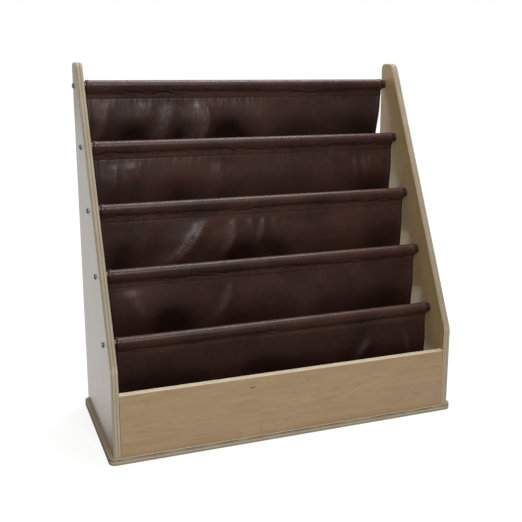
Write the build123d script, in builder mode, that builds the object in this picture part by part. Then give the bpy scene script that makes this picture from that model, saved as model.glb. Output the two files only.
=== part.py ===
from build123d import *
from math import asin, atan, atan2, cos, degrees, hypot, sin
import os

# A child's sling bookshelf, in millimetres. X runs along its width, the front
# looks towards -Y and Z is up. The origin is the middle of the base's underside.

# Side panels, of birch plywood: upright back edge, slanted front edge, narrow rounded top
panel_span = 762.0            # over the outer faces of the two panels
panel_thickness = 15.0
panel_height = 759.0
panel_foot_depth = 325.0      # along the base
panel_top_depth = 47.0        # where the slanted edge would meet the top
panel_upright_front = 177.5   # height of the short upright front edge
panel_back_corner = 12.0      # roundings of the outline
panel_front_corner = 20.0
panel_bend_corner = 24.0
panel_arris = 2.5             # rounding along both faces

# Base, a plywood plate that the panels and the board stand on
base_thickness = 15.0
base_side_overhang = 9.0      # past the panels' outer faces
base_front_overhang = 5.0     # past the panels' front edges
base_corner = 14.0
base_arris = 1.6

# Front board, which closes the bottom bin
board_height = 127.0
board_thickness = 15.0
board_setback = 2.0           # behind the panels' front edges
board_joint_gap = 0.3         # at each end
board_arris = 2.0

# Wooden dowels between the front board and the panels
dowel_diameter = 8.0
dowel_length = 30.0
dowel_in_panel = 10.0
dowel_count = 2
dowel_edge_distance = 30.0    # from the board's top and bottom edges
dowel_play = 0.1
dowel_end_play = 1.0

# Rods, evenly spaced in a straight row behind the slanted edge
rod_count = 5
rod_diameter = 20.0
lowest_rod_height = 210.5     # axis of the lowest rod above the base plate
lowest_rod_setback = 69.5     # and behind the panels' front edge
top_rod_drop = 48.5           # axis of the top rod below the panels' top
top_rod_inset = 13.5          # and in front of their back edge
rod_end_gap = 0.3
rod_end_chamfer = 0.8

# Pan head screws that hold the rods
rod_screw_diameter = 4.8
rod_screw_length = 45.0
pan_head_diameter = 12.0
pan_head_height = 3.5
pan_head_flat = 7.0           # diameter of the head's flat top
pan_head_arc = 90.0           # degrees, from the rim up to the flat

# Countersunk screws, long ones through the base and short ones through the batten
wood_screw_diameter = 4.5
wood_screw_head = 8.6
wood_screw_head_depth = 2.6
wood_screw_tip = 4.0
base_screw_length = 40.0
batten_screw_length = 22.0
screw_head_sink = 0.3         # head below the surface
screw_play = 0.1              # round the shank
screw_end_play = 1.0          # past the tip
cross_length = 4.4            # cross recess in each head
cross_width = 1.1
cross_depth = 1.4
panel_screw_count = 3
panel_screw_margin = 45.0     # from the foot's ends
board_screw_count = 3
board_screw_margin = 110.0    # from the board's ends

# Slings, of a backed faux leather: a sleeve round the rod, stitched under it,
# then the pocket's back wall, its rounded bottom and its front wall
sheet_thickness = 1.4
sheet_gap = 0.3               # to the rod and from layer to layer
sling_side_gap = 9.5          # from the panels' inner faces
seam_drop = 28.0              # stitch line below the rod's axis
flap_tail = 9.0               # sleeve's hem below the stitch line
seam_bend = 6.0               # bending radius at the stitch line
flap_bend = 4.0
pocket_drop = 75.0            # bottom of the pocket below the next rod's stitch line
pocket_bottom_back = 15.0     # back corner of the bottom, in front of the rod's axis
pocket_bottom_front = 9.5     # front corner, behind the next rod's axis
front_wall_margin = 2.0       # upper edge below the next stitch line
belly_drop = 75.0             # where the back wall bulges most, below the rod's axis
belly_reach = 7.0
belly_bend = 150.0
hollow_drop = 152.0           # where it draws in again
hollow_reach = 6.0
hollow_bend = 90.0
left_draw_ins = (7.0, 10.0, 8.0, 10.0, 3.0)    # each sling's side edges run in by this
right_draw_ins = (26.0, 10.0, 8.0, 10.0, 9.0)  # from the stitch line to the bottom
sleeve_round_share = 0.985    # bend of the sleeve against its full half round
bottom_bend_share = 0.45      # bend of the pocket's bottom corners against its width

# Loose folds in the back walls: one row for each sling, top to bottom, as
# shares of the fold depth at each place along the width
fold_depth = 3.5
place_shares = (-1.0, -0.82, -0.62, -0.42, -0.22, 0.0, 0.2, 0.42, 0.64, 0.84, 1.0)
belly_fold_shares = (
    (0.0, 0.2, -0.3, -0.2, 0.9, -0.4, 0.1, 0.3, -0.1, 0.2, 0.0),
    (0.0, 0.5, -0.2, 0.1, 0.2, -0.2, 0.3, -0.1, 0.2, 0.5, 0.0),
    (0.0, -0.2, 0.1, -0.5, 0.9, -0.5, 0.7, -0.2, 0.1, -0.1, 0.0),
    (0.0, 0.1, -0.3, 0.6, -0.1, 0.2, -0.2, 0.1, 0.3, -0.1, 0.0),
    (0.0, 0.3, -0.2, 0.1, -0.1, 0.2, -0.1, 0.2, -0.4, 0.6, 0.0),
)
hollow_fold_shares = (
    (0.0, 0.3, -0.2, 0.8, -0.4, 0.1, -0.3, 0.2, 0.0, -0.2, 0.0),
    (0.0, 0.2, 0.3, -0.2, 0.1, 0.3, -0.2, 0.1, -0.2, 0.4, 0.0),
    (0.0, -0.4, 0.9, -0.3, -0.5, 0.4, 0.1, -0.3, 0.2, -0.2, 0.0),
    (0.0, -0.2, 0.2, 0.5, -0.4, 0.1, 0.2, -0.3, 0.1, 0.2, 0.0),
    (0.0, 0.1, -0.1, 0.3, -0.2, 0.1, 0.2, -0.3, 0.4, 0.1, 0.0),
)

# Lowest sling: it hangs to the base, where a batten holds its end
bin_sheet_reach = 3.0         # its foot in front of the rod's axis
bin_sheet_bend = 2.5
batten_width = 20.0
batten_height = 12.0
batten_arris = 1.5
batten_screw_count = 5
batten_screw_margin = 40.0
overrun = 5.0                 # how far a cut runs past what it cuts

# Places that follow from those sizes
base_width = panel_span + 2 * base_side_overhang
base_depth = panel_foot_depth + base_front_overhang
back_y = base_depth / 2
panel_front_y = back_y - panel_foot_depth
panel_top_z = base_thickness + panel_height
inner_face_x = panel_span / 2 - panel_thickness
board_front_y = panel_front_y + board_setback
board_middle_y = board_front_y + board_thickness / 2
board_top_z = base_thickness + board_height
board_end_x = inner_face_x - board_joint_gap
board_dowel_hole = dowel_length - dowel_in_panel - board_joint_gap + dowel_end_play
rod_radius = rod_diameter / 2
rod_end_x = inner_face_x - rod_end_gap
top_rod = (back_y - top_rod_inset, panel_top_z - top_rod_drop)
lowest_rod = (panel_front_y + lowest_rod_setback, base_thickness + lowest_rod_height)
rod_step = (top_rod[0] - lowest_rod[0]) / (rod_count - 1)
rod_rise = (top_rod[1] - lowest_rod[1]) / (rod_count - 1)
rod_axes = [(top_rod[0] - rod_step * row, top_rod[1] - rod_rise * row) for row in range(rod_count)]
sling_half_width = inner_face_x - sling_side_gap
layer_pitch = sheet_thickness + sheet_gap
sleeve_radius = rod_radius + sheet_gap + sheet_thickness / 2
batten_front_y = (
    rod_axes[-1][0] - bin_sheet_reach + bin_sheet_bend + sheet_gap
)
batten_middle_y = batten_front_y + batten_width / 2
batten_half_length = sling_half_width - max(left_draw_ins[-1], right_draw_ins[-1])
batten_bottom_z = base_thickness + layer_pitch + sheet_gap
batten_top_z = batten_bottom_z + batten_height
batten_screw_bite = batten_screw_length - batten_top_z + screw_head_sink + base_thickness
wood_screw_hole = wood_screw_diameter + 2 * screw_play
head_slope = (wood_screw_head - wood_screw_diameter) / 2 / wood_screw_head_depth
countersink_radius = wood_screw_head / 2 + screw_play + head_slope * screw_head_sink
countersink_angle = 2 * degrees(atan(head_slope))

os.makedirs("parts", exist_ok=True)


def spaced(first, last, count):
    """Evenly spaced places from the first to the last."""
    return [first + (last - first) * place / (count - 1) for place in range(count)]


def save(piece, name):
    """Label a finished piece and write its file."""
    piece.part.label = name
    export_step(piece.part, f"parts/{name}.step")


panel_screw_places = [
    (side * (panel_span - panel_thickness) / 2, y)
    for side in (-1, 1)
    for y in spaced(
        panel_front_y + panel_screw_margin, back_y - panel_screw_margin, panel_screw_count
    )
]
board_screw_places = [
    (x, board_middle_y)
    for x in spaced(
        board_screw_margin - board_end_x, board_end_x - board_screw_margin, board_screw_count
    )
]
base_screw_places = panel_screw_places + board_screw_places
batten_screw_places = [
    (x, batten_middle_y)
    for x in spaced(
        batten_screw_margin - sling_half_width,
        sling_half_width - batten_screw_margin,
        batten_screw_count,
    )
]
dowel_heights = spaced(
    base_thickness + dowel_edge_distance, board_top_z - dowel_edge_distance, dowel_count
)


def facing(places, height, direction):
    """A plane at each place, at the given height, facing up (1) or down (-1)."""
    return [Plane((*place, height), x_dir=(1, 0, 0), z_dir=(0, 0, direction)) for place in places]


def make_wood_screw(length):
    """A countersunk screw with its head's flat face up at the origin."""
    with BuildPart() as screw:
        with BuildSketch(Plane.XZ):
            with BuildLine():
                Polyline(
                    (0, 0),
                    (wood_screw_head / 2, 0),
                    (wood_screw_diameter / 2, -wood_screw_head_depth),
                    (wood_screw_diameter / 2, wood_screw_tip - length),
                    (0, -length),
                    close=True,
                )
            make_face()
        revolve(axis=Axis.Z)
        with BuildSketch():
            Rectangle(cross_length, cross_width)
            Rectangle(cross_width, cross_length)
        extrude(amount=-cross_depth, mode=Mode.SUBTRACT)
    return screw.part


def make_side_panel(side):
    """One side panel: -1 is the left one, 1 the right one."""
    low_x = -panel_span / 2 if side < 0 else inner_face_x
    with BuildPart() as panel:
        with BuildSketch(Plane.YZ.offset(low_x)):
            with BuildLine():
                FilletPolyline(
                    (back_y, base_thickness),
                    (panel_front_y, base_thickness),
                    (panel_front_y, base_thickness + panel_upright_front),
                    (back_y - panel_top_depth, panel_top_z),
                    (back_y, panel_top_z),
                    radius=(0, 0, panel_bend_corner, panel_front_corner, panel_back_corner),
                    close=True,
                )
            make_face()
        extrude(amount=panel_thickness)
        outline = [
            edge
            for face in panel.faces().filter_by(Axis.X)
            for edge in face.edges()
            if edge.center().Z > base_thickness + panel_arris
        ]
        fillet(outline, panel_arris)
        with BuildSketch(Plane.YZ.offset(low_x - overrun)):
            with Locations(*rod_axes):
                Circle(rod_screw_diameter / 2 + screw_play)
        extrude(amount=panel_thickness + 2 * overrun, mode=Mode.SUBTRACT)
        with BuildSketch(Plane.YZ.offset(side * inner_face_x)):
            with Locations(*[(board_middle_y, z) for z in dowel_heights]):
                Circle(dowel_diameter / 2 + dowel_play)
        extrude(amount=side * (dowel_in_panel + dowel_end_play), mode=Mode.SUBTRACT)
        with Locations(*facing(panel_screw_places, base_thickness, -1)):
            Hole(wood_screw_hole / 2, base_screw_length - base_thickness + screw_end_play)
    return panel


with BuildPart() as base:
    with BuildSketch():
        RectangleRounded(base_width, base_depth, base_corner)
    extrude(amount=base_thickness)
    rims = base.faces().sort_by(Axis.Z)[0].edges() + base.faces().sort_by(Axis.Z)[-1].edges()
    fillet(rims, base_arris)
    with Locations(*facing(base_screw_places, 0, -1)):
        CounterSinkHole(
            wood_screw_hole / 2, countersink_radius, counter_sink_angle=countersink_angle
        )
    with Locations(*facing(batten_screw_places, base_thickness, 1)):
        Hole(wood_screw_hole / 2, batten_screw_bite + screw_end_play)
save(base, "base")

side_panel_left = make_side_panel(-1)
save(side_panel_left, "side_panel_left")
side_panel_right = make_side_panel(1)
save(side_panel_right, "side_panel_right")

with BuildPart() as front_board:
    with BuildSketch(Plane.YZ.offset(-board_end_x)):
        with Locations((board_middle_y, base_thickness + board_height / 2)):
            Rectangle(board_thickness, board_height)
    extrude(amount=2 * board_end_x)
    top_edges = front_board.edges().filter_by(Axis.X).group_by(Axis.Z)[-1]
    fillet(top_edges, board_arris)
    for side in (-1, 1):
        with BuildSketch(Plane.YZ.offset(side * board_end_x)):
            with Locations(*[(board_middle_y, z) for z in dowel_heights]):
                Circle(dowel_diameter / 2 + dowel_play)
        extrude(amount=-side * board_dowel_hole, mode=Mode.SUBTRACT)
    with Locations(*facing(board_screw_places, base_thickness, -1)):
        Hole(wood_screw_hole / 2, base_screw_length - base_thickness + screw_end_play)
save(front_board, "front_board")

with BuildPart() as board_dowels:
    for side in (-1, 1):
        with BuildSketch(Plane.YZ.offset(side * (inner_face_x + dowel_in_panel))):
            with Locations(*[(board_middle_y, z) for z in dowel_heights]):
                Circle(dowel_diameter / 2)
        extrude(amount=-side * dowel_length)
save(board_dowels, "board_dowels")

with BuildPart() as base_screws:
    with Locations(*facing(base_screw_places, screw_head_sink, -1)):
        add(make_wood_screw(base_screw_length))
save(base_screws, "base_screws")


def make_rod(centre):
    """A straight round rod with a screw hole in each end."""
    with BuildPart() as rod:
        with BuildSketch(Plane.YZ.offset(-rod_end_x)):
            with Locations(centre):
                Circle(rod_radius)
        extrude(amount=2 * rod_end_x)
        chamfer(rod.edges().filter_by(GeomType.CIRCLE), rod_end_chamfer)
        hole_depth = rod_screw_length - panel_thickness + screw_end_play
        for side in (-1, 1):
            with BuildSketch(Plane.YZ.offset(side * rod_end_x)):
                with Locations(centre):
                    Circle(rod_screw_diameter / 2 + screw_play)
            extrude(amount=-side * hole_depth, mode=Mode.SUBTRACT)
    return rod


for number, centre in enumerate(rod_axes, start=1):
    save(make_rod(centre), f"rod_{number}")


def make_rod_screws(side):
    """The pan head screws on one side panel, each with its head on the outer face."""
    outer_face_x = side * panel_span / 2
    with BuildPart() as screws:
        for y, z in rod_axes:
            spot = Plane(origin=(outer_face_x, y, z), x_dir=(side, 0, 0), z_dir=(0, -side, 0))
            with BuildSketch(spot):
                with BuildLine():
                    Polyline(
                        (pan_head_height, 0),
                        (-rod_screw_length, 0),
                        (-rod_screw_length, rod_screw_diameter / 2),
                        (0, rod_screw_diameter / 2),
                        (0, pan_head_diameter / 2),
                    )
                    Line((pan_head_height, 0), (pan_head_height, pan_head_flat / 2))
                    EllipticalCenterArc(
                        (0, pan_head_flat / 2),
                        pan_head_height,
                        (pan_head_diameter - pan_head_flat) / 2,
                        arc_size=pan_head_arc,
                    )
                make_face()
            revolve(axis=Axis((outer_face_x, y, z), (1, 0, 0)))
        with BuildSketch(Plane.YZ.offset(outer_face_x + side * pan_head_height)):
            with Locations(*rod_axes):
                Rectangle(cross_length, cross_width)
                Rectangle(cross_width, cross_length)
        extrude(amount=-side * cross_depth, mode=Mode.SUBTRACT)
    return screws


save(make_rod_screws(-1), "rod_screws_left")
save(make_rod_screws(1), "rod_screws_right")


def one_side(points, radii, distance):
    """A rounded path's corners and bends, moved sideways to the left by a distance."""
    runs = [
        ((u2 - u1) / hypot(u2 - u1, v2 - v1), (v2 - v1) / hypot(u2 - u1, v2 - v1))
        for (u1, v1), (u2, v2) in zip(points, points[1:])
    ]
    before = [runs[0]] + runs
    after = runs + [runs[-1]]
    corners = []
    for (u, v), (a1, b1), (a2, b2) in zip(points, before, after):
        reach = distance / (1 + a1 * a2 + b1 * b2)
        corners.append((u - (b1 + b2) * reach, v + (a1 + a2) * reach))
    turns = [a1 * b2 - a2 * b1 for (a1, b1), (a2, b2) in zip(runs, runs[1:])]
    bends = [
        radius - distance if turn > 0 else radius + distance
        for radius, turn in zip(radii, turns)
    ]
    return corners, bends


def sheet_outline(centre, points, radii):
    """The corners and bends of a sheet's cut edge, from its middle line before the rod's axis."""
    left, left_bends = one_side(points, radii, sheet_thickness / 2)
    right, right_bends = one_side(points, radii, -sheet_thickness / 2)
    corners = [(centre[0] - u, centre[1] + v) for u, v in left + right[::-1]]
    return corners, [0, *left_bends, 0, 0, *right_bends[::-1], 0]


def sleeve_points():
    """The sleeve's middle line: hem, stitch line behind, over the rod, stitch line in front."""
    half = layer_pitch / 2
    lean = asin(sleeve_radius / hypot(seam_drop, half)) - atan2(half, seam_drop)
    shoulder = sleeve_radius * (1 + sin(lean)) / cos(lean)
    points = [
        (-half, -seam_drop - flap_tail),
        (-half, -seam_drop),
        (-shoulder, sleeve_radius),
        (shoulder, sleeve_radius),
        (half, -seam_drop),
    ]
    round_bend = sleeve_radius * sleeve_round_share
    return points, [flap_bend, round_bend, round_bend, seam_bend]


def pocket_section(belly_fold, hollow_fold):
    """The middle line of a sling that ends on the next rod's sleeve."""
    points, radii = sleeve_points()
    front_corner = rod_step - pocket_bottom_front
    points += [
        (belly_reach + belly_fold, -belly_drop),
        (hollow_reach + hollow_fold, -hollow_drop),
        (pocket_bottom_back, -rod_rise - seam_drop - pocket_drop),
        (front_corner, -rod_rise - seam_drop - pocket_drop),
        (rod_step - 3 * layer_pitch / 2, -rod_rise - seam_drop - front_wall_margin),
    ]
    bottom_bend = (front_corner - pocket_bottom_back) * bottom_bend_share
    return points, radii + [belly_bend, hollow_bend, bottom_bend, bottom_bend]


def bin_section(belly_fold, hollow_fold):
    """The middle line of the lowest sling, which ends flat on the base."""
    points, radii = sleeve_points()
    foot = -lowest_rod_height + sheet_gap + sheet_thickness / 2
    back_reach = bin_sheet_bend + sheet_gap + batten_width
    points += [
        (belly_reach + belly_fold, -belly_drop),
        (bin_sheet_reach + hollow_fold, -hollow_drop),
        (bin_sheet_reach, foot),
        (bin_sheet_reach - back_reach, foot),
    ]
    return points, radii + [belly_bend, hollow_bend, bin_sheet_bend]


def make_sling(row, section, lowest_z):
    """A sling lofted along its width, with its side edges drawn in below the stitch line."""
    centre = rod_axes[row]
    with BuildPart() as sling:
        for place, belly, hollow in zip(
            place_shares, belly_fold_shares[row], hollow_fold_shares[row]
        ):
            middle_line = section(belly * fold_depth, hollow * fold_depth)
            corners, bends = sheet_outline(centre, *middle_line)
            with BuildSketch(Plane.YZ.offset(place * sling_half_width)):
                with BuildLine():
                    FilletPolyline(*corners, radius=bends, close=True)
                make_face()
        loft()
        for side, draw_in in ((-1, left_draw_ins[row]), (1, right_draw_ins[row])):
            edge_x = side * sling_half_width
            low_edge_x = edge_x - side * draw_in
            with BuildSketch(Plane.XZ.offset(-centre[0])):
                with BuildLine():
                    Polyline(
                        (edge_x, centre[1] - seam_drop),
                        (low_edge_x, lowest_z),
                        (low_edge_x, lowest_z - overrun),
                        (edge_x + side * overrun, lowest_z - overrun),
                        (edge_x + side * overrun, centre[1] - seam_drop),
                        close=True,
                    )
                make_face()
            extrude(amount=base_depth, both=True, mode=Mode.SUBTRACT)
        if section is bin_section:
            with Locations(*facing(batten_screw_places, batten_bottom_z, 1)):
                Hole(wood_screw_hole / 2, batten_bottom_z - base_thickness)
    return sling


for row, centre in enumerate(rod_axes[:-1]):
    pocket_z = centre[1] - rod_rise - seam_drop - pocket_drop
    save(make_sling(row, pocket_section, pocket_z), f"sling_{row + 1}")
save(make_sling(rod_count - 1, bin_section, base_thickness), f"sling_{rod_count}")

with BuildPart() as sling_batten:
    with BuildSketch(Plane.YZ.offset(-batten_half_length)):
        with Locations((batten_middle_y, batten_bottom_z + batten_height / 2)):
            Rectangle(batten_width, batten_height)
    extrude(amount=2 * batten_half_length)
    fillet(sling_batten.edges().filter_by(Axis.X).group_by(Axis.Z)[-1], batten_arris)
    with Locations(*facing(batten_screw_places, batten_top_z, 1)):
        CounterSinkHole(
            wood_screw_hole / 2, countersink_radius, counter_sink_angle=countersink_angle
        )
save(sling_batten, "sling_batten")

with BuildPart() as batten_screws:
    with Locations(*facing(batten_screw_places, batten_top_z - screw_head_sink, 1)):
        add(make_wood_screw(batten_screw_length))
save(batten_screws, "batten_screws")
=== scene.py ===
import math
import bpy
import numpy as np
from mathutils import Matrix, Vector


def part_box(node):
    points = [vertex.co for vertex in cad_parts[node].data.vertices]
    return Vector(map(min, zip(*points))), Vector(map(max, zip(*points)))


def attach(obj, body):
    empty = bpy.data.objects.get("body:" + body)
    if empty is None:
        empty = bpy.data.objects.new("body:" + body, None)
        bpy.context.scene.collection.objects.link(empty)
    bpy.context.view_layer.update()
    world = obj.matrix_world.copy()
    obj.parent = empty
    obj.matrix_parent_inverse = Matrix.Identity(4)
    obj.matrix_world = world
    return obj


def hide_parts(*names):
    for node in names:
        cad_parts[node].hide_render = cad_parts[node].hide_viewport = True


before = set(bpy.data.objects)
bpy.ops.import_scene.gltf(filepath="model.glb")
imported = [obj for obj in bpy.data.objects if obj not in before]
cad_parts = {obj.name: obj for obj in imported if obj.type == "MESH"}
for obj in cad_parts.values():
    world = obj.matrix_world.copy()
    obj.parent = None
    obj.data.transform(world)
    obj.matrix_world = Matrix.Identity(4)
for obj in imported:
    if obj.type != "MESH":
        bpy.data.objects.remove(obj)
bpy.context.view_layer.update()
mm = 0.001


# where the rods run, from the frame: (y, z) of each axis in millimetres, the top rod first
def rodAxis(number):
    low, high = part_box(f"rod_{number}")
    return (low.y + high.y) / 2 / mm, (low.z + high.z) / 2 / mm


rodAxes = [rodAxis(number) for number in range(1, 6)]
rodStep = rodAxes[0][0] - rodAxes[1][0]
rodRise = rodAxes[0][1] - rodAxes[1][1]
rodRadius = (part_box("rod_1")[1].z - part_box("rod_1")[0].z) / 2 / mm
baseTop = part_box("base")[1].z / mm
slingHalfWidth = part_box("sling_1")[1].x / mm
print("frame loaded, rods at", rodAxes)


camera = {
    "place": (-0.6157, -1.6046, 0.7542),
    "turn": (77.64, 0, -20.79),  # degrees
    "lens": 54.87,  # mm, before a sensor 36 mm wide
    "sensor": 36,
    "shift": (-0.0050, -0.0278),
    "nearest": 0.05,
}

lampAim = (0, 0, 0.4)
lamps = {
    "overhead": {"place": (0.45, 0.35, 2.4), "size": 1.5, "watts": 58},
    "front": {"place": (-0.3, -2.4, 2.2), "size": 1.2, "watts": 72},
    "back": {"place": (-0.8, 2.4, 1.3), "size": 2.0, "watts": 14},
}


def makeCamera():
    data = bpy.data.cameras.new("camera")
    data.lens = camera["lens"]
    data.sensor_width = camera["sensor"]
    data.shift_x, data.shift_y = camera["shift"]
    data.clip_start = camera["nearest"]
    thing = bpy.data.objects.new("camera", data)
    thing.location = camera["place"]
    thing.rotation_euler = [math.radians(angle) for angle in camera["turn"]]
    bpy.context.scene.collection.objects.link(thing)
    bpy.context.scene.camera = thing


# a lamp shines down its own z, so it is tilted by the angle between straight down and its aim,
# and then turned about z towards the aim
def makeLamp(name, lamp):
    data = bpy.data.lights.new(name, "AREA")
    data.shape = "DISK"
    data.size = lamp["size"]
    data.energy = lamp["watts"]
    thing = bpy.data.objects.new(name, data)
    thing.location = lamp["place"]
    thing.visible_camera = False
    thing.visible_glossy = name != "back"  # no glare of it on the left panel
    x, y, z = (aim - place for aim, place in zip(lampAim, lamp["place"]))
    thing.rotation_euler = (math.atan2(math.hypot(x, y), -z), 0, math.atan2(-x, y))
    bpy.context.scene.collection.objects.link(thing)


# sRGB hex to linear, with full opacity: low values are divided by 12.92, and others are raised
# to the power 2.4 after 0.055 is added and the sum is divided by 1.055
def colour(code):
    parts = [int(code[place:place + 2], 16) / 255 for place in (1, 3, 5)]
    return [p / 12.92 if p <= 0.04045 else ((p + 0.055) / 1.055) ** 2.4 for p in parts] + [1]


# gives each named or numbered input of a node a value or a socket
def feed(tree, node, links):
    for socket, source in links.items():
        if isinstance(source, bpy.types.NodeSocket):
            tree.links.new(source, node.inputs[socket])
        else:
            node.inputs[socket].default_value = source


def add(tree, kind, links=None, **settings):
    made = tree.nodes.new(kind)
    for key, value in settings.items():
        setattr(made, key, value)
    feed(tree, made, links or {})
    return made


def blendColours(tree, share, first, second, how="MIX"):
    made = add(tree, "ShaderNodeMix", {"Factor": share}, data_type="RGBA", blend_type=how)
    spots = [place for place, spot in enumerate(made.inputs) if spot.type == "RGBA"]
    feed(tree, made, dict(zip(spots, (first, second))))
    return next(spot for spot in made.outputs if spot.type == "RGBA")


# the run from low to high becomes the run from start to end, and both ends are held
def fade(tree, value, low, high, start=0.0, end=1.0, smooth=True):
    links = {"Value": value, "From Min": low, "From Max": high, "To Min": start, "To Max": end}
    kind = "SMOOTHSTEP" if smooth else "LINEAR"
    return add(tree, "ShaderNodeMapRange", links, interpolation_type=kind).outputs["Result"]


def calculate(tree, operation, first, second=0.0, third=0.0):
    links = {0: first, 1: second, 2: third}
    return add(tree, "ShaderNodeMath", links, operation=operation).outputs[0]


# cloudy noise about 0.5, its scale in lumps per metre, or per unit of a stretched vector
def noise(tree, vector, scale=1.0, detail=2.0, rough=0.5, distortion=0.0):
    links = {
        "Vector": vector, "Scale": scale, "Detail": detail,
        "Roughness": rough, "Distortion": distortion,
    }
    return add(tree, "ShaderNodeTexNoise", links).outputs["Fac"]


def coordinates(tree):
    return add(tree, "ShaderNodeTexCoord").outputs["Object"]


# depth is in mm
def emboss(tree, shader, height, strength, depth):
    links = {"Height": height, "Strength": strength, "Distance": depth * mm}
    feed(tree, shader, {"Normal": add(tree, "ShaderNodeBump", links).outputs[0]})


def startMaterial(name):
    material = bpy.data.materials.new(name)
    material.use_nodes = True
    tree = material.node_tree
    tree.nodes.clear()
    shader = add(tree, "ShaderNodeBsdfPrincipled")
    add(tree, "ShaderNodeOutputMaterial", {"Surface": shader.outputs["BSDF"]})
    return material, tree, shader


# birch plywood under a clear satin lacquer: pale veneer faces with a soft, long grain, and
# edges that show the plies as fine light and dark bands. Lengths are in mm.
plywood = {
    "veneer": "#9E815E",
    "veneerDark": "#84694A",
    "veneerPale": "#AD916D",
    "edgePale": "#BFB49E",
    "edgeDark": "#A3947C",
    "glueLine": "#5E4832",
    # dark of the open glue lines, and of the painted contact shadow
    "gap": "#2E2318",
    "grainLength": 260.0,  # of the growth figures, along the grain
    "streakShare": 1 / 3,  # of the grain's length
    "streakWidth": 9.0,
    "fibreLengthShare": 1 / 8,
    "fibreWidth": 0.9,  # drawn coarser than the real 0.3 mm so that it shows
    "bendWidth": 90.0,
    "ringSpacing": 34.0,  # between the veneer's wide growth figures
    "rings": 15.0,
    "ringShare": 0.22,
    "fibreShare": 0.14,
    "knots": (),
    "plies": 5,  # drawn fewer and thicker than the real eleven so that they show
    "patchScale": 26.0,  # per metre, of the stretches where the glue lines show
    "glueLinesAndContactShadow": (),  # open glue lines and painted contact shadow: share of the thickness, half width and how dark
    "edgeFibreShare": 0.25,
    "slopeFrom": 190.0,  # where the sloped edges start: from here up, painted shade darkens their edges
    "slopeFade": 14.0,
    "slopePaintedShade": "#D6D6D8",
    "skin": (0.008, 0.03),  # shares of the thickness between which a face turns into an edge
    "rough": 0.38,
    "edgeRough": 0.68,
    "shine": 0.5,
    "edgeShine": 0.12,
    "coat": 0.5,
    "coatRough": 0.3,
    "density": 1.5,  # index of refraction
    "fibreHeight": 0.6,
    "streakHeight": 0.4,
    "embossShare": 0.12,
    "embossDepth": 0.3,
}


# a veneer's face: pale and dark streaks, growth rings, dark fibres and knots
def veneerColour(tree, place, stretched, streak, fibre, look):
    dark = colour(look["veneerDark"])
    bend = noise(tree, stretched(look["grainLength"], look["bendWidth"]))
    figure = stretched(look["grainLength"], look["ringSpacing"])
    figure = noise(tree, figure, detail=1.5, distortion=0.3)
    rings = calculate(tree, "MULTIPLY_ADD", figure, look["rings"], bend)
    rings = calculate(tree, "PINGPONG", rings, 0.5)
    rings = calculate(tree, "MULTIPLY", rings, 2.0)  # rises and falls evenly from 0 to 1
    face = blendColours(
        tree, fade(tree, streak, 0.1, 0.9), colour(look["veneerPale"]), colour(look["veneer"])
    )
    face = blendColours(tree, fade(tree, rings, 0.6, 1.0, 0.0, look["ringShare"]), face, dark)
    face = blendColours(tree, fade(tree, fibre, 0.5, 0.8, 0.0, look["fibreShare"]), face, dark)

    # a knot is an ellipse: its reach is 1 where x / long and z / tall make a unit circle
    for x, z, long, tall, share in look["knots"]:
        away = add(
            tree,
            "ShaderNodeMapping",
            {"Vector": place, "Location": (-x / long, 0, -z / tall),
             "Scale": (1 / (long * mm), 0, 1 / (tall * mm))},
        ).outputs[0]
        reach = add(tree, "ShaderNodeVectorMath", {0: away}, operation="LENGTH").outputs["Value"]
        face = blendColours(
            tree, fade(tree, reach, 0.3, 1.3, share, 0.0), face, colour(look["glueLine"])
        )
    return face


# a plate's edge: pale and dark plies, with glue lines between them that come and go
def edgeColour(tree, place, height, depth, fibre, look):
    layer = calculate(tree, "MULTIPLY", depth, look["plies"])
    odd = fade(tree, calculate(tree, "PINGPONG", layer, 1.0), 0.25, 0.75)
    edge = blendColours(tree, odd, colour(look["edgePale"]), colour(look["edgeDark"]))
    line = calculate(tree, "ADD", calculate(tree, "FRACT", layer), 0.5)
    line = calculate(tree, "PINGPONG", line, 0.5)  # 0.5 between two plies, 0 inside a ply
    patchy = noise(tree, place, look["patchScale"], 3.0)
    patch = fade(tree, patchy, 0.35, 0.65, 0.1, 1.0)
    glue = calculate(tree, "MULTIPLY", fade(tree, line, 0.38, 0.5), patch)
    edge = blendColours(tree, glue, edge, colour(look["glueLine"]))
    # open glue lines, and a painted contact shadow, both darker in patches
    for share, wide, dark in look["glueLinesAndContactShadow"]:
        near = calculate(tree, "ABSOLUTE", calculate(tree, "SUBTRACT", depth, share))
        near = fade(tree, near, wide * 0.5, wide, dark, 0.0)
        near = calculate(tree, "MULTIPLY", near, fade(tree, patchy, 0.3, 0.55, 0.45, 1.0))
        edge = blendColours(tree, near, edge, colour(look["gap"]))
    worn = fade(tree, fibre, 0.35, 0.75, 0.0, look["edgeFibreShare"])
    edge = blendColours(tree, worn, edge, colour(look["glueLine"]))
    # painted shade on the edges above the slope's start
    slopeEnd = look["slopeFrom"] + look["slopeFade"]
    slope = fade(tree, height, look["slopeFrom"] * mm, slopeEnd * mm)
    return blendColours(tree, slope, edge, colour(look["slopePaintedShade"]), how="MULTIPLY")


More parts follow.
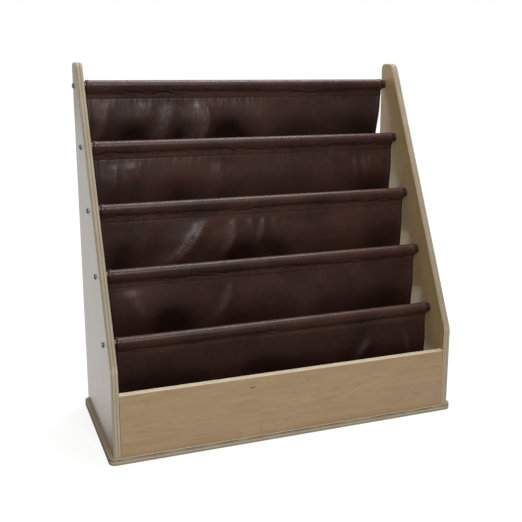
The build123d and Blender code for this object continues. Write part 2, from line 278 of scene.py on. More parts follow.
# across is the axis through the plies and along that of the grain: 0, 1 or 2. The plate starts at
# low on the first, in mm, and its grain is turned by turn degrees.
def makePlywood(name, across, along, low, thickness, turn, look):
    material, tree, shader = startMaterial(name)
    place = coordinates(tree)
    split = add(tree, "ShaderNodeSeparateXYZ", {0: place}).outputs
    depth = calculate(tree, "SUBTRACT", split[across], low * mm)
    depth = calculate(tree, "DIVIDE", depth, thickness * mm)  # 0 to 1 through the plate

    def stretched(lengthwise, crosswise):
        scale = [1 / (crosswise * mm)] * 3
        scale[along] = 1 / (lengthwise * mm)
        spin = [0.0, 0.0, 0.0]
        spin[across] = math.radians(turn)
        links = {"Vector": place, "Scale": scale, "Rotation": spin}
        return add(tree, "ShaderNodeMapping", links).outputs[0]

    streak = stretched(look["grainLength"] * look["streakShare"], look["streakWidth"])
    streak = noise(tree, streak, detail=4.0, rough=0.6)
    fibre = stretched(look["grainLength"] * look["fibreLengthShare"], look["fibreWidth"])
    fibre = noise(tree, fibre, detail=3.0, rough=0.7)
    face = veneerColour(tree, place, stretched, streak, fibre, look)
    edge = edgeColour(tree, place, split[2], depth, fibre, look)
    skin = calculate(tree, "PINGPONG", depth, 0.5)  # 0 on both faces
    inside = fade(tree, skin, *look["skin"])
    links = {
        "Base Color": blendColours(tree, inside, face, edge),
        "Roughness": fade(tree, inside, 0.0, 1.0, look["rough"], look["edgeRough"]),
        "Specular IOR Level": fade(tree, inside, 0.0, 1.0, look["shine"], look["edgeShine"]),
        "Coat Weight": fade(tree, inside, 0.0, 1.0, look["coat"], 0.0),
        "Coat Roughness": look["coatRough"],
        "IOR": look["density"],
    }
    feed(tree, shader, links)
    height = calculate(tree, "MULTIPLY", streak, look["streakHeight"])
    height = calculate(tree, "MULTIPLY_ADD", fibre, look["fibreHeight"], height)
    emboss(tree, shader, height, look["embossShare"], look["embossDepth"])
    return material


# faux leather, a coated cloth: dark brown, satin, with a fine embossed pebble, lighter in mottled
# patches, with a painted highlight on the crests of its folds and painted shade, nearly black, in
# its hollows
leather = {
    "base": "#3E251E",
    "dark": "#2B1915",
    # pale mottled patches, and the painted highlight on the crests
    "mottleAndHighlight": "#4A352E",
    # painted highlight along the crinkles' ridges on the crests
    "ridge": "#5E4942",
    # painted shade in the hollows and down towards the pockets
    "deep": "#120805",
    "cloudScale": 9.0,  # per metre
    "mottleScale": 60.0,
    "mottleShare": 0.3,
    "crestShare": 0.25,
    "ridgeHighlightShare": 0.3,
    "pebble": 1.6,  # mm, drawn coarser than the real 0.7 mm so that it shows
    "pebbleHeight": 0.06,  # mm
    "mottleHeight": 0.16,
    "crinkles": ((30, 9, 1.0), (16, 5, 0.5)),  # mm: length, width and height of the ridges
    "crinkleLean": 14,  # degrees
    "smoothShare": 0.1,  # of the crinkles, where there is no crest
    "rough": 0.4,
    "roughRange": 0.06,
    "crestPolish": 0.04,
    "shine": 0.26,
    "deepShine": 0.065,
    "density": 1.48,
}


# sharp ridges where a stretched noise is 0.5: twice its distance from the nearest whole number,
# to the power 3
def crinkleHeight(tree, place, look):
    height = 0.0
    for lengthwise, crosswise, high in look["crinkles"]:
        stretched = add(
            tree,
            "ShaderNodeMapping",
            {"Vector": place, "Scale": (1 / (crosswise * mm), 0, 1 / (lengthwise * mm)),
             "Rotation": (0, math.radians(look["crinkleLean"]), 0)},
        ).outputs[0]
        ridge = calculate(tree, "PINGPONG", noise(tree, stretched, distortion=0.8), 0.5)
        ridge = calculate(tree, "POWER", calculate(tree, "MULTIPLY", ridge, 2.0), 3.0)
        height = calculate(tree, "MULTIPLY_ADD", ridge, high, height)
    return height


# the slings' meshes carry two shares: crest, where the folds get a painted highlight, and painted
# shade where light is lost
def makeLeather(name, look=leather):
    material, tree, shader = startMaterial(name)
    place = coordinates(tree)
    cloud = noise(tree, place, look["cloudScale"], 4.0, 0.6)
    mottle = noise(tree, place, look["mottleScale"], 3.0)
    crest = add(tree, "ShaderNodeAttribute", attribute_name="crest").outputs["Fac"]
    paintedShade = add(tree, "ShaderNodeAttribute", attribute_name="paintedShade").outputs["Fac"]
    # painted shade, kept to the faces that look forward
    facing = add(tree, "ShaderNodeNewGeometry").outputs["Normal"]
    facing = add(tree, "ShaderNodeSeparateXYZ", {0: facing}).outputs[1]
    paintedShade = calculate(tree, "MULTIPLY", paintedShade, fade(tree, facing, -0.1, 0.1, 1.0, 0.0))
    mottleAndHighlight = colour(look["mottleAndHighlight"])
    body = blendColours(
        tree, fade(tree, cloud, 0.35, 0.7), colour(look["base"]), colour(look["dark"])
    )
    body = blendColours(tree, fade(tree, mottle, 0.45, 0.8, 0.0, look["mottleShare"]), body, mottleAndHighlight)
    # painted highlight: the crests lightened towards the pale colour
    body = blendColours(tree, calculate(tree, "MULTIPLY", crest, look["crestShare"]), body, mottleAndHighlight)
    # painted shade: the body darkened to nearly black where light is lost
    body = blendColours(tree, paintedShade, body, colour(look["deep"]))

    crumple = calculate(tree, "MULTIPLY_ADD", crest, 1 - look["smoothShare"], look["smoothShare"])
    crumple = calculate(tree, "MULTIPLY", crinkleHeight(tree, place, look), crumple)
    # painted highlight: light lines along the crinkles' ridges on the crests
    ridge = calculate(tree, "MULTIPLY", crumple, crest)
    ridge = calculate(tree, "MULTIPLY", ridge, look["ridgeHighlightShare"])
    rough = fade(
        tree, mottle, 0.3, 0.75, look["rough"] + look["roughRange"],
        look["rough"] - look["roughRange"],
    )
    # reflections are dimmed too where the shade is painted
    shine = fade(tree, paintedShade, 0.0, 1.0, look["shine"], look["deepShine"], smooth=False)
    links = {
        "Base Color": blendColours(tree, ridge, body, colour(look["ridge"])),
        "Roughness": calculate(tree, "MULTIPLY_ADD", crest, -look["crestPolish"], rough),
        "Specular IOR Level": shine,
        "IOR": look["density"],
    }
    feed(tree, shader, links)
    pebble = add(
        tree,
        "ShaderNodeTexVoronoi",
        {"Vector": place, "Scale": 1 / (look["pebble"] * mm), "Randomness": 0.9},
        feature="SMOOTH_F1",
    ).outputs["Distance"]
    height = calculate(tree, "MULTIPLY", mottle, look["mottleHeight"])
    height = calculate(tree, "MULTIPLY_ADD", pebble, look["pebbleHeight"], height)
    emboss(tree, shader, calculate(tree, "ADD", height, crumple), 1.0, 1.0)
    return material


# round beech rods in glossy dark brown paint, with the paint's slight orange peel
rodPaint = {
    "colour": "#1C1210",
    "worn": "#261916",
    "rough": 0.3,
    "wornRough": 0.42,
    "peelScale": 500.0,  # per metre
    "wearScale": 40.0,
    "peelShare": 0.08,
    "peelDepth": 0.2,  # mm
}


def makeRodPaint(look=rodPaint):
    material, tree, shader = startMaterial("glossy_brown_rod_paint")
    place = coordinates(tree)
    wear = noise(tree, place, look["wearScale"], 4.0)
    body = blendColours(
        tree, fade(tree, wear, 0.5, 0.8), colour(look["colour"]), colour(look["worn"])
    )
    rough = fade(tree, wear, 0.3, 0.8, look["rough"], look["wornRough"])
    feed(tree, shader, {"Base Color": body, "Roughness": rough})
    peel = noise(tree, place, look["peelScale"])
    emboss(tree, shader, peel, look["peelShare"], look["peelDepth"])
    return material


# zinc-plated steel screws: grey, softly bright, with fine turning marks
zinc = {
    "colour": "#8E908E",
    "dark": "#5E605E",
    "roughRange": (0.26, 0.44),
    "mark": 0.25,  # mm, from one turning mark to the next
    "stainScale": 300.0,  # per metre
    "markShare": 0.15,
    "markDepth": 0.05,  # mm
}


def makeZinc(look=zinc):
    material, tree, shader = startMaterial("zinc_plated_steel")
    place = coordinates(tree)
    marks = noise(tree, place, 1 / (look["mark"] * mm))
    stain = noise(tree, place, look["stainScale"], 3.0)
    body = blendColours(
        tree, fade(tree, stain, 0.4, 0.75), colour(look["colour"]), colour(look["dark"])
    )
    rough = fade(tree, marks, 0.3, 0.7, *look["roughRange"])
    feed(tree, shader, {"Base Color": body, "Metallic": 1.0, "Roughness": rough})
    emboss(tree, shader, marks, look["markShare"], look["markDepth"])
    return material


# plain sanded beech: pinkish tan with short dark flecks along the grain
beech = {
    "colour": "#BE9A70",
    "fleck": "#94704A",
    "rough": 0.55,
    "fleckScale": (60, 900, 900),  # per metre, along and across the grain
    "fleckShare": 0.1,
    "fleckDepth": 0.1,  # mm
}


def makeBeech(look=beech):
    material, tree, shader = startMaterial("sanded_beech")
    links = {"Vector": coordinates(tree), "Scale": look["fleckScale"]}
    fleck = noise(tree, add(tree, "ShaderNodeMapping", links).outputs[0], detail=4.0)
    body = blendColours(
        tree, fade(tree, fleck, 0.52, 0.75), colour(look["colour"]), colour(look["fleck"])
    )
    feed(tree, shader, {"Base Color": body, "Roughness": look["rough"]})
    emboss(tree, shader, fleck, look["fleckShare"], look["fleckDepth"])
    return material


# bonded polyester sewing thread: dark brown, twisted, with a dull shine
thread = {
    "colour": "#33241D",
    "dark": "#231812",
    "twist": 0.35,  # mm
    "rough": 0.5,
}


def makeThread(look=thread):
    material, tree, shader = startMaterial("bonded_sewing_thread")
    bandsPerUnit = 20  # of the wave texture's own scale
    wave = add(
        tree,
        "ShaderNodeTexWave",
        {"Vector": coordinates(tree), "Scale": 1 / (look["twist"] * mm) / bandsPerUnit,
         "Distortion": 0.5},
        bands_direction="DIAGONAL",
    ).outputs["Fac"]
    body = blendColours(tree, wave, colour(look["colour"]), colour(look["dark"]))
    feed(tree, shader, {"Base Color": body, "Roughness": look["rough"]})
    return material


# A sling's middle line, seen from its end, is a row of corners with rounded bends: hem, stitch
# line behind, over the rod, stitch line in front, back wall, pocket bottom, front wall.
# u is forward of the rod's axis and v is up from it. Lengths are in mm, and drops are measured
# down from the rod's axis.

cloth = {
    "thickness": 1.4,
    "gap": 0.3,  # between two layers, and between the sheet and the rod
    "seamDrop": 28.0,
    "flapTail": 9.0,  # the sleeve's loose end below the stitch line
    "flapBend": 3.0,
    "rodBendShare": 0.985,  # of the line's radius round the rod
    "seamBend": 3.5,
    "bellyDrop": 75.0,
    "bellyReach": 7.0,
    "bellyBend": 150.0,
    "hollowDrop": 152.0,
    "hollowReach": 6.0,
    "hollowBend": 90.0,
    "pocketDrop": 75.0,  # below the next rod's stitch line
    "bottomBack": 15.0,
    "bottomFront": 9.5,
    "bottomBendShare": 0.45,  # of the pocket's width
    "frontMargin": 2.0,
    "drawInLeft": (7.0, 10.0, 8.0, 10.0, 3.0),
    "drawInRight": (26.0, 10.0, 8.0, 10.0, 9.0),
    "hemWidth": 10.0,
    "columnStep": 3.2,
    "rowStep": 2.6,
}

binFoot = {"reach": 3.0, "bend": 2.5, "turnedUnder": 22.8}  # sling 5's lower end


def sleeveCorners():
    pitch = cloth["thickness"] + cloth["gap"]
    radius = rodRadius + cloth["gap"] + cloth["thickness"] / 2
    drop = cloth["seamDrop"]
    lean = math.asin(radius / math.hypot(drop, pitch / 2)) - math.atan2(pitch / 2, drop)
    shoulder = radius * (1 + math.sin(lean)) / math.cos(lean)
    corners = [
        (-pitch / 2, -drop - cloth["flapTail"]),
        (-pitch / 2, -drop),
        (-shoulder, radius),
        (shoulder, radius),
        (pitch / 2, -drop),
    ]
    rodBend = radius * cloth["rodBendShare"]
    return corners, [cloth["flapBend"], rodBend, rodBend, cloth["seamBend"]]


def pocketCorners():
    corners, bends = sleeveCorners()
    nextSeam = -rodRise - cloth["seamDrop"]
    bottom = nextSeam - cloth["pocketDrop"]
    front = rodStep - cloth["bottomFront"]
    bottomBend = (front - cloth["bottomBack"]) * cloth["bottomBendShare"]
    behindSleeve = rodStep - 1.5 * (cloth["thickness"] + cloth["gap"])  # the third layer's middle
    corners += [
        (cloth["bellyReach"], -cloth["bellyDrop"]),
        (cloth["hollowReach"], -cloth["hollowDrop"]),
        (cloth["bottomBack"], bottom),
        (front, bottom),
        (behindSleeve, nextSeam - cloth["frontMargin"]),
    ]
    return corners, bends + [cloth["bellyBend"], cloth["hollowBend"], bottomBend, bottomBend]


def binCorners():
    corners, bends = sleeveCorners()
    foot = baseTop + cloth["gap"] + cloth["thickness"] / 2 - rodAxes[4][1]
    corners += [
        (cloth["bellyReach"], -cloth["bellyDrop"]),
        (binFoot["reach"], -cloth["hollowDrop"]),
        (binFoot["reach"], foot),
        (binFoot["reach"] - binFoot["turnedUnder"], foot),
    ]
    return corners, bends + [cloth["bellyBend"], cloth["hollowBend"], binFoot["bend"]]


# points along straight runs joined by arcs: an arc starts r tan(turn / 2) before its corner and
# goes forward by r sin(angle) and sideways by r (1 - cos(angle))
def roundedLine(corners, bends, step):
    fewest, widest = 4, math.radians(14)  # points in an arc, and the angle between two of them
    corners = np.array(corners, float)
    runs = np.diff(corners, axis=0)
    lengths = np.hypot(runs[:, 0], runs[:, 1])
    ways = runs / lengths[:, None]
    pieces = []
    start = corners[0]
    for place, bend in enumerate(bends):
        first, second = ways[place], ways[place + 1]
        turn = math.atan2(
            first[0] * second[1] - first[1] * second[0], float(first @ second)
        )
        cut = bend * math.tan(abs(turn) / 2)
        arcStart = corners[place + 1] - first * cut
        count = max(1, round(np.hypot(*(arcStart - start)) / step))
        shares = np.arange(count)[:, None] / count
        pieces.append(start + (arcStart - start) * shares)
        side = np.array([-first[1], first[0]]) * math.copysign(1, turn)
        count = max(fewest, round(abs(turn) / widest), round(abs(turn) * bend / step))
        angles = np.arange(count)[:, None] / count * abs(turn)
        pieces.append(arcStart + bend * (np.sin(angles) * first + (1 - np.cos(angles)) * side))
        start = corners[place + 1] + second * cut
    count = max(1, round(np.hypot(*(corners[-1] - start)) / step))
    shares = np.arange(count + 1)[:, None] / count
    pieces.append(start + (corners[-1] - start) * shares)
    return np.concatenate(pieces)


# creases of each sling: (x, drop) of the crest's upper and lower end, its half width, how far
# it stands forward, and how far its middle bows to the right, all in mm
creases = {
    1: [
        {"top": (-312, 34), "low": (-344, 124), "wide": 13, "high": 2.7, "bow": 6},
        {"top": (-231, 32), "low": (-222, 74), "wide": 17, "high": 1.8, "bow": 0},
        {"top": (-168, 34), "low": (-208, 122), "wide": 18, "high": 3.3, "bow": 8},
        {"top": (-148, 96), "low": (-168, 150), "wide": 14, "high": -4.5, "bow": 0},
        {"top": (-104, 30), "low": (-122, 138), "wide": 20, "high": 4.5, "bow": 16},
        {"top": (-92, 38), "low": (-98, 112), "wide": 4, "high": 1.6, "bow": 13},
        {"top": (-112, 50), "low": (-128, 124), "wide": 5, "high": 1.5, "bow": 8},
        {"top": (-48, 70), "low": (-18, 160), "wide": 36, "high": -9.0, "bow": 0},
        {"top": (20, 40), "low": (70, 130), "wide": 40, "high": 2.0, "bow": 0},
        {"top": (-264, 84), "low": (-250, 150), "wide": 30, "high": -5.0, "bow": 0},
        {"top": (330, 60), "low": (300, 150), "wide": 50, "high": -4.0, "bow": 0},
    ],
    2: [
        {"top": (-282, 32), "low": (-262, 70), "wide": 15, "high": 2.4, "bow": 0},
        {"top": (-312, 34), "low": (-316, 96), "wide": 8, "high": 1.8, "bow": 3},
        {"top": (-84, 34), "low": (-76, 100), "wide": 16, "high": 1.9, "bow": 0},
        {"top": (-180, 60), "low": (-170, 150), "wide": 40, "high": -3.0, "bow": 0},
        {"top": (259, 30), "low": (262, 94), "wide": 7, "high": 1.9, "bow": 0},
        {"top": (280, 30), "low": (290, 90), "wide": 6, "high": 1.8, "bow": 0},
        {"top": (296, 30), "low": (300, 74), "wide": 5, "high": 1.5, "bow": 0},
        {"top": (330, 70), "low": (300, 150), "wide": 50, "high": -4.0, "bow": 0},
    ],
    3: [
        {"top": (-122, 28), "low": (-220, 130), "wide": 17, "high": 5.4, "bow": 7},
        {"top": (-130, 40), "low": (-196, 112), "wide": 4, "high": 1.6, "bow": 5},
        {"top": (-152, 48), "low": (-218, 120), "wide": 4, "high": 1.3, "bow": 5},
        {"top": (-212, 36), "low": (-250, 110), "wide": 22, "high": -3.0, "bow": 0},
        {"top": (-66, 30), "low": (-92, 112), "wide": 12, "high": 4.5, "bow": 9},
        {"top": (-28, 30), "low": (-24, 76), "wide": 8, "high": 2.6, "bow": 0},
        {"top": (8, 26), "low": (-12, 94), "wide": 8, "high": 3.6, "bow": 3},
        {"top": (26, 28), "low": (40, 90), "wide": 9, "high": 2.0, "bow": 0},
        {"top": (-58, 92), "low": (-44, 160), "wide": 34, "high": -8.0, "bow": 0},
        {"top": (20, 76), "low": (50, 150), "wide": 26, "high": -4.0, "bow": 0},
        {"top": (-300, 66), "low": (-330, 150), "wide": 26, "high": -5.0, "bow": 0},
        {"top": (310, 60), "low": (290, 150), "wide": 50, "high": -4.0, "bow": 0},
    ],
    4: [
        {"top": (-320, 28), "low": (-280, 100), "wide": 20, "high": 3.6, "bow": 0},
        {"top": (-90, 28), "low": (-130, 112), "wide": 12, "high": 3.4, "bow": 7},
        {"top": (-240, 78), "low": (-216, 150), "wide": 44, "high": -7.0, "bow": 0},
        {"top": (60, 50), "low": (100, 140), "wide": 60, "high": 2.0, "bow": 0},
        {"top": (300, 80), "low": (280, 150), "wide": 60, "high": -4.0, "bow": 0},
    ],
    5: [
        {"top": (222, 50), "low": (178, 98), "wide": 12, "high": 3.8, "bow": 0},
        {"top": (300, 40), "low": (312, 100), "wide": 8, "high": 2.6, "bow": 0},
        {"top": (-40, 60), "low": (-30, 120), "wide": 60, "high": -3.0, "bow": 0},
    ],
}


# a crease's cross-section is exp(-(distance / width)^2), its line bows sideways by a parabola,
# and it rises and dies out near its ends by 1 / (1 + exp(-steepness (along - end)))
def creaseDepth(x, drop, crease):
    upper, lower = (0.14, 10), (1.0, 9)  # where along the crease it does so, and how steeply
    (x1, d1), (x2, d2) = crease["top"], crease["low"]
    along = ((x - x1) * (x2 - x1) + (drop - d1) * (d2 - d1)) / ((x2 - x1) ** 2 + (d2 - d1) ** 2)
    length = math.hypot(x2 - x1, d2 - d1)
    off = ((x - x1) * (d2 - d1) - (drop - d1) * (x2 - x1)) / length
    off = off - crease["bow"] * 4 * along * (1 - along)
    ends = 1 / (1 + np.exp(-(along - upper[0]) * upper[1]))
    ends = ends / (1 + np.exp((along - lower[0]) * lower[1]))
    return crease["high"] * ends * np.exp(-((off / crease["wide"]) ** 2))


fullTurn = 6.28  # radians, for random phases
puckering = {"seed": 40, "waves": (7.0, 11.0, 17.0, 29.0), "height": 0.26, "reach": 16}
rumpling = {"seed": 90, "height": 1.3, "middle": 16, "reach": 5.5, "pace": 0.62}
sinking = {"depth": 2.4, "middle": 17, "sway": 1.5, "reach": 6.0}
softening = {"seed": 70, "waves": ((0.7, 61, 80), (0.5, 37, -45), (0.25, 19, 23))}


# the stitch line gathers the cloth: uneven ripples along x, the sum of sines of four lengths,
# stronger in some stretches than in others, that die out exponentially down the wall
def puckers(x, drop, number):
    random = np.random.default_rng(puckering["seed"] + number)
    total = np.zeros_like(x)
    for wave in puckering["waves"]:
        phase, drift = random.uniform(0, fullTurn), random.uniform(-0.3, 0.3)
        sway = phase + 1.7 * np.sin(x / 53 + phase)
        total += np.sin((x + drift * drop) * 2 * math.pi / wave + sway)
    strength = 0.5 + 0.5 * np.sin(x / 67 + number * 2.1) * np.sin(x / 131 + number)
    below = np.clip(drop - cloth["seamDrop"], 0, None)
    return puckering["height"] * total * strength * np.exp(-below / puckering["reach"])


# the sleeve's loose front lies in short uneven ripples under the rod, a sine down the sleeve
# whose phase wanders along x, and it sinks in there by a bell curve
def rumples(x, drop, number):
    random = np.random.default_rng(rumpling["seed"] + number)
    a, b, c, d = random.uniform(0, fullTurn, 4)
    sway = 1.7 * np.sin(x / 43 + a) + 1.5 * np.sin(x / 17 + b) + 0.9 * np.sin(x / 8.5 + c)
    share = 0.35 + 0.65 * np.clip(np.sin(x / 57 + c) + 0.6 * np.sin(x / 24 + d), 0, 1)
    window = np.exp(-(((drop - rumpling["middle"]) / rumpling["reach"]) ** 2))
    ripple = rumpling["height"] * np.sin(drop * rumpling["pace"] + 1.5 * sway)
    lowest = sinking["middle"] + sinking["sway"] * np.sin(x / 71 + b)
    sink = sinking["depth"] * np.exp(-(((drop - lowest) / sinking["reach"]) ** 2))
    return ripple * share * window - sink


# slow unevenness of a hand-cut sheet: three waves, each with its height and how far apart its
# crests are along x and down the wall
def soften(x, drop, number):
    random = np.random.default_rng(softening["seed"] + number)
    phases = random.uniform(0, fullTurn, 3)
    return sum(
        high * np.sin(x / sideways + drop / down + phase)
        for (high, sideways, down), phase in zip(softening["waves"], phases)
    )


wall = {
    "comesFree": 22,  # mm below the seam over which the wall's creases start
    "heldAgain": (20, 40),  # mm above and below the next seam, between which they end
    "footHeld": 12,  # the same for sling 5, above its lowest point
    "backReach": 26,  # what is further forward than this is the pocket's front, and has none
    "puckersTo": 90,  # drop, the same for the puckers
    "fullCrest": 5,  # mm, the height of a crease that catches all the light it can
    "sleeveFront": 2,  # the sleeve's front is at least this far forward
}


# the free back wall's creases, and how much of each point is a crest. Both fade by a smooth
# step, 3 t^2 - 2 t^3, at the seams that hold the wall.
def wallRelief(x, drop, reach, number):
    lowest = drop.max()
    nextSeam = rodRise + cloth["seamDrop"] if number < 5 else lowest - wall["footHeld"]
    above, below = wall["heldAgain"]
    free = np.clip((drop - cloth["seamDrop"]) / wall["comesFree"], 0, 1)
    free = free * np.clip((nextSeam + below - drop) / (above + below), 0, 1)
    free = free * free * (3 - 2 * free) * (reach < wall["backReach"])
    depth = soften(x, drop, number)
    crest = np.zeros_like(x)
    for crease in creases[number]:
        part = creaseDepth(x, drop, crease)
        depth = depth + part
        if crease["high"] > 0:
            strength = min(1, crease["high"] / wall["fullCrest"])
            crest = crest + (part / crease["high"]) ** 2 * strength
    return depth * free, crest, free


seams = {
    "sunk": 0.35,  # mm, the stitch line across the front
    "sunkWidth": 2.6,
    "rowsAbove": 6,
    "hemHigh": 0.9,
    "hemRamp": 2,
    "grooveDeep": 0.9,
    "grooveWidth": 1.6,
}


# the stitch line sinks in, the doubled hem stands out, and its own stitches lie in a groove:
# both sunk lines are bell curves
def seamRelief(across, row, seamRow):
    below = (row - seamRow) * cloth["rowStep"]
    sunk = np.exp(-((below / seams["sunkWidth"]) ** 2)) * (row > seamRow - seams["rowsAbove"])
    edge = slingHalfWidth * (1 - np.abs(across))
    hem = (edge < cloth["hemWidth"]) * np.clip(edge / seams["hemRamp"], 0, 1)
    groove = np.exp(-(((edge - cloth["hemWidth"]) / seams["grooveWidth"]) ** 2))
    return seams["hemHigh"] * hem - seams["sunk"] * sunk - seams["grooveDeep"] * groove


# painted shade on the slings' walls: where it starts, how dark it gets, and how much the crests are
# spared
shade = {
    "darkFrom": ((42, 90), (60, 110), (60, 110), (50, 110), (-60, 190)),  # drop, mm to full dark
    "least": 0.1,
    "downShare": 0.68,
    "hollowDepth": 11,  # mm
    "hollowMost": 0.4,
    "crestShare": 0.8,
    "most": 0.9,
}


# painted shade: darker down towards the pocket and in the hollows, and less on the crests
def paintedShadeShare(drop, depth, crest, number):
    start, span = shade["darkFrom"][number - 1]
    down = np.clip((drop - start) / span, 0, 1) * shade["downShare"]
    deep = np.clip(-depth / shade["hollowDepth"], 0, shade["hollowMost"])
    lit = 1 - shade["crestShare"] * np.clip(crest, 0, 1)
    return np.clip((shade["least"] + down + deep) * lit, 0, shade["most"])


# points (column, row, xyz) of the middle surface in mm, with the shares at each, the line that
# they follow and the first row below the stitch line
def slingSurface(number, corners, bends):
    line = roundedLine(corners, bends, cloth["rowStep"])
    away = np.gradient(line, axis=0)
    away /= np.hypot(away[:, 0], away[:, 1])[:, None]
    normal = np.stack([-away[:, 1], away[:, 0]], axis=1)  # left of the way down: forward
    seamRow = int(np.argmax((line[:, 1] < -cloth["seamDrop"]) & (line[:, 0] > 0)))
    columns = 2 * round(slingHalfWidth / cloth["columnStep"]) + 1
    across = np.linspace(-1, 1, columns)[:, None]
    drop = -line[None, :, 1] + 0 * across
    reach = line[None, :, 0]
    row = np.arange(len(line))[None, :] + 0 * across
    onWall = row >= seamRow
    onSleeve = (row < seamRow) * (reach > wall["sleeveFront"])

    down = (drop - cloth["seamDrop"]) / (drop.max() - cloth["seamDrop"])
    left, right = cloth["drawInLeft"][number - 1], cloth["drawInRight"][number - 1]
    sideIn = np.where(across < 0, left, right) * np.clip(down, 0, 1)
    x = across * (slingHalfWidth - sideIn)

    depth, crest, free = wallRelief(x, drop, reach, number)
    depth = depth * onWall
    depth = depth + puckers(x, drop, number) * onWall * (drop < wall["puckersTo"])
    depth = depth + rumples(x, drop, number) * onSleeve + seamRelief(across, row, seamRow)
    # the first share carries the painted highlight on the crests, the second the painted shade
    shares = {
        "crest": np.clip(crest * free * onWall, 0, 1),
        "paintedShade": paintedShadeShare(drop, depth, crest, number) * onWall,
    }
    u = reach + normal[None, :, 0] * depth
    v = line[None, :, 1] + normal[None, :, 1] * depth
    y0, z0 = rodAxes[number - 1]
    return np.stack([x, y0 - u, z0 + v], axis=2), shares, line, seamRow


# a mesh with smooth faces from points in mm
def addMesh(name, points, faces, material):
    mesh = bpy.data.meshes.new(name)
    mesh.from_pydata((points.reshape(-1, 3) * mm).tolist(), [], faces)
    mesh.polygons.foreach_set("use_smooth", np.ones(len(faces), bool))
    mesh.materials.append(material)
    thing = bpy.data.objects.new(name, mesh)
    bpy.context.scene.collection.objects.link(thing)
    return thing


# a grid of points as quads, with each set of shares as an attribute of its points
def gridMesh(name, points, shares, material):
    columns, rows = points.shape[:2]
    index = np.arange(columns * rows).reshape(columns, rows)
    quads = np.stack(
        [index[:-1, :-1], index[:-1, 1:], index[1:, 1:], index[1:, :-1]], axis=2
    ).reshape(-1, 4)
    thing = addMesh(name, points, quads.tolist(), material)
    for key, values in shares.items():
        layer = thing.data.attributes.new(key, "FLOAT", "POINT")
        layer.data.foreach_set("value", values.reshape(-1).astype(np.float32))
    thing.data.update()
    return thing


def makeSling(number, material, threadMaterial):
    corners, bends = pocketCorners() if number < 5 else binCorners()
    points, shares, line, seamRow = slingSurface(number, corners, bends)
    sling = gridMesh(f"sling_cloth_{number}", points, shares, material)
    thick = sling.modifiers.new("thickness", "SOLIDIFY")
    thick.thickness = cloth["thickness"] * mm
    thick.offset = 0
    thick.use_even_offset = True
    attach(sling, "root")
    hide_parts(f"sling_{number}")
    stitches = makeStitches(number, points, seamRow, threadMaterial)


# in mm, apart from the shares
stitch = {
    "length": 3.2,
    "spacing": 4.6,
    "start": 0.5,
    "thick": 0.9,
    "proud": 0.25,
    "dip": 0.7,
    "thinnest": 0.02,  # the square of the least share of the thickness
    "sides": 6,
    "ringShares": (-1.0, -0.8, -0.3, 0.3, 0.8, 1.0),  # of half its length, from its middle
    "hemTopRow": 8,
    "hemEndShare": 0.97,  # of the sling's rows
}


# one short thread for each pair of points: a tube whose radius falls with the square root of
# 1 - t^2 and which dips by t^4, t being -1 and 1 at its ends
def stitchRow(starts, ends, outward):
    along = ends - starts
    length = np.linalg.norm(along, axis=1, keepdims=True)
    along = along / length
    outward = outward - (outward * along).sum(1, keepdims=True) * along
    outward = outward / np.linalg.norm(outward, axis=1, keepdims=True)
    across = np.cross(along, outward)
    t = np.array(stitch["ringShares"])
    radius = stitch["thick"] / 2 * np.sqrt(np.clip(1 - t ** 2, stitch["thinnest"], 1))
    rise = stitch["proud"] - stitch["dip"] * t ** 4
    turn = np.arange(stitch["sides"]) * 2 * math.pi / stitch["sides"]
    middle = (starts + ends) / 2
    return (
        middle[:, None, None, :]
        + along[:, None, None, :] * (t[None, :, None, None] * length[:, None, None, :] / 2)
        + outward[:, None, None, :] * (rise + radius * np.sin(turn)[:, None]).T[None, :, :, None]
        + across[:, None, None, :] * (radius * np.cos(turn)[:, None]).T[None, :, :, None]
    )


# stitches at even distances along a path that lies in the sheet's middle, raised to its face
def stitchesAlong(path, outward):
    steps = np.concatenate([[0], np.cumsum(np.linalg.norm(np.diff(path, axis=0), axis=1))])
    begin = np.arange(int(steps[-1] / stitch["spacing"])) * stitch["spacing"] + stitch["start"]

    def at(distance, values):
        return np.stack([np.interp(distance, steps, values[:, k]) for k in range(3)], axis=1)

    ends = [
        at(distance, path) + at(distance, outward) * cloth["thickness"] / 2
        for distance in (begin, begin + stitch["length"])
    ]
    return stitchRow(*ends, at(begin, outward))


# rows of stitches: across the front at the seam, and down both hems
def makeStitches(number, points, seamRow, material):
    columns, rows = points.shape[:2]
    normals = np.cross(np.gradient(points, axis=0), np.gradient(points, axis=1))
    normals /= np.linalg.norm(normals, axis=2, keepdims=True)
    normals *= -np.sign(normals[:, seamRow + seams["rowsAbove"], 1].mean())  # forward is -y
    groups = [stitchesAlong(points[:, seamRow + 1], normals[:, seamRow + 1])]
    hemColumn = round(cloth["hemWidth"] / (2 * slingHalfWidth) * (columns - 1))
    hemRows = slice(stitch["hemTopRow"], int(rows * stitch["hemEndShare"]))
    for column in (hemColumn, columns - 1 - hemColumn):
        groups.append(stitchesAlong(points[column, hemRows], normals[column, hemRows]))
    rings = np.concatenate(groups)
    index = np.arange(rings[..., 0].size).reshape(rings.shape[:3])
    around = np.roll(index, -1, axis=2)
    walls = np.stack(
        [index[:, :-1], around[:, :-1], around[:, 1:], index[:, 1:]], axis=3
    ).reshape(-1, 4)
    caps = np.concatenate([index[:, 0, ::-1], index[:, -1, :]])
    faces = walls.tolist() + caps.tolist()
    thing = addMesh(f"sling_stitches_{number}", rings, faces, material)
    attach(thing, "root")
    return thing


def paint(node, material):
    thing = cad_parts[node]
    thing.data.materials.clear()
    thing.data.materials.append(material)


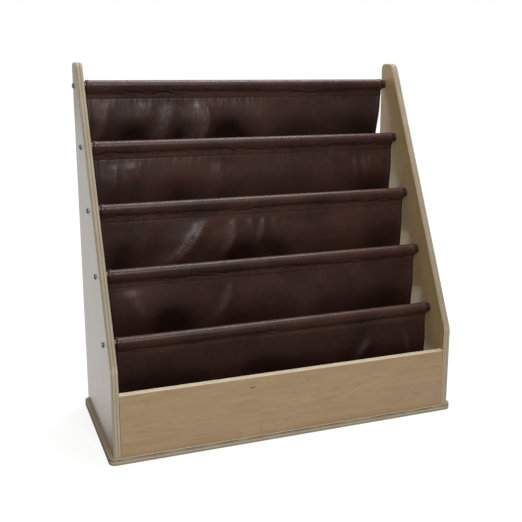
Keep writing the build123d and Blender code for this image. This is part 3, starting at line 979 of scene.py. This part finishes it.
# each plate's axis through the plies, axis of the grain and turn of the grain in degrees, and
# what its look changes in that of the plywood. A knot is x, z, half length and half height in
# mm, and how dark it is.
plates = {
    # the left panel's veneer is cooler and greyer, with fainter grain: painted reflection of the
    # white surroundings on its outer face
    "side_panel_left": (0, 2, 0.0, {
        "veneer": "#938061", "veneerPale": "#A18E6D", "ringShare": 0.12, "fibreShare": 0.06,
    }),
    "side_panel_right": (0, 2, 0.0, {
        "veneer": "#A2885E", "veneerPale": "#B0946A", "coat": 0.15,
    }),
    "base": (2, 0, 0.0, {
        "veneer": "#8A7559", "veneerPale": "#948063",
        # an open glue line, and painted contact shadow along the bottom of the base's edge
        "glueLinesAndContactShadow": ((0.77, 0.07, 1.0), (0.02, 0.06, 0.8)),
    }),
    "front_board": (1, 0, 13.0, {
        "veneer": "#A38664", "veneerPale": "#B49875", "veneerDark": "#82664A",
        "ringShare": 0.21, "fibreShare": 0.17,
        "knots": ((-90.8, 119.6, 7.0, 2.2, 0.95), (35.0, 119.0, 3.6, 3.6, 0.3)),
    }),
}


def dressPlates():
    for node, (across, along, turn, changes) in plates.items():
        low, high = (corner[across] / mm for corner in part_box(node))
        look = plywood | changes
        name = f"birch_plywood_{node}"
        paint(node, makePlywood(name, across, along, low, high - low, turn, look))


def dressRods():
    material = makeRodPaint()
    for number in range(1, 6):
        paint(f"rod_{number}", material)


def dressFasteners():
    material = makeZinc()
    for node in ("rod_screws_left", "rod_screws_right", "base_screws", "batten_screws"):
        paint(node, material)
    material = makeBeech()
    for node in ("board_dowels", "sling_batten"):
        paint(node, material)


floorLook = {
    "reach": 12.0,
    "colour": "#808080",
    "rough": 0.9,
    "glow": (0.8, 5.0, 0.8, 1.0),  # from the first distance to the second, from this to that
    "mirrored": (-0.15, 0.1),  # reflections see its glow from here to there along y
}


# a white floor: it is lit like any grey paint, and glows for the camera so that only the shadow
# under the base stays. Reflections see the glow too, but only behind the shelf.
def makeFloor(look=floorLook):
    material, tree, shader = startMaterial("studio_floor")
    ray = add(tree, "ShaderNodeLightPath").outputs
    place = coordinates(tree)
    back = add(tree, "ShaderNodeSeparateXYZ", {0: place}).outputs[1]
    back = fade(tree, back, *look["mirrored"])
    back = calculate(tree, "MULTIPLY", ray["Is Glossy Ray"], back)
    seen = calculate(tree, "MAXIMUM", ray["Is Camera Ray"], back)
    seen = calculate(tree, "MAXIMUM", seen, ray["Is Transmission Ray"])
    distance = add(tree, "ShaderNodeVectorMath", {0: place}, operation="LENGTH").outputs["Value"]
    links = {
        "Base Color": colour(look["colour"]),
        "Roughness": look["rough"],
        "Emission Color": (1, 1, 1, 1),
        "Emission Strength": calculate(tree, "MULTIPLY", seen, fade(tree, distance, *look["glow"])),
    }
    feed(tree, shader, links)
    sides = ((-1, -1), (1, -1), (1, 1), (-1, 1))
    corners = np.array([(x, y, 0) for x, y in sides]) * look["reach"] / mm
    addMesh("floor", corners, [(0, 1, 2, 3)], material)


sky = {"light": 0.2, "seen": 1.0, "mirrored": (-0.1, 0.5, 0.0, 0.55)}


# the camera sees a white world, which lights the shelf only a little, and reflections see it
# fade in behind the shelf
def makeWorld(look=sky):
    world = bpy.data.worlds.new("studio")
    bpy.context.scene.world = world
    world.use_nodes = True
    tree = world.node_tree
    tree.nodes.clear()
    ray = add(tree, "ShaderNodeLightPath").outputs
    seen = calculate(tree, "MAXIMUM", ray["Is Camera Ray"], ray["Is Transmission Ray"])
    way = add(tree, "ShaderNodeTexCoord").outputs["Generated"]
    behind = add(tree, "ShaderNodeSeparateXYZ", {0: way}).outputs[1]
    behind = fade(tree, behind, *look["mirrored"])
    behind = calculate(tree, "MULTIPLY", ray["Is Glossy Ray"], behind)
    seen = calculate(tree, "MAXIMUM", seen, behind)
    strength = fade(tree, seen, 0.0, 1.0, look["light"], look["seen"], smooth=False)
    light = add(tree, "ShaderNodeBackground", {"Color": (1, 1, 1, 1), "Strength": strength})
    add(tree, "ShaderNodeOutputWorld", {"Surface": light.outputs[0]})


bpy.context.scene.view_settings.view_transform = "Standard"
makeCamera()
for lampName, lamp in lamps.items():
    makeLamp(lampName, lamp)
makeFloor()
makeWorld()
print("studio set up")
dressPlates()
dressRods()
dressFasteners()
print("wood and metal dressed")
leatherMaterial = makeLeather("brown_faux_leather")
threadMaterial = makeThread()
for number in range(1, 6):
    makeSling(number, leatherMaterial, threadMaterial)

print("done")
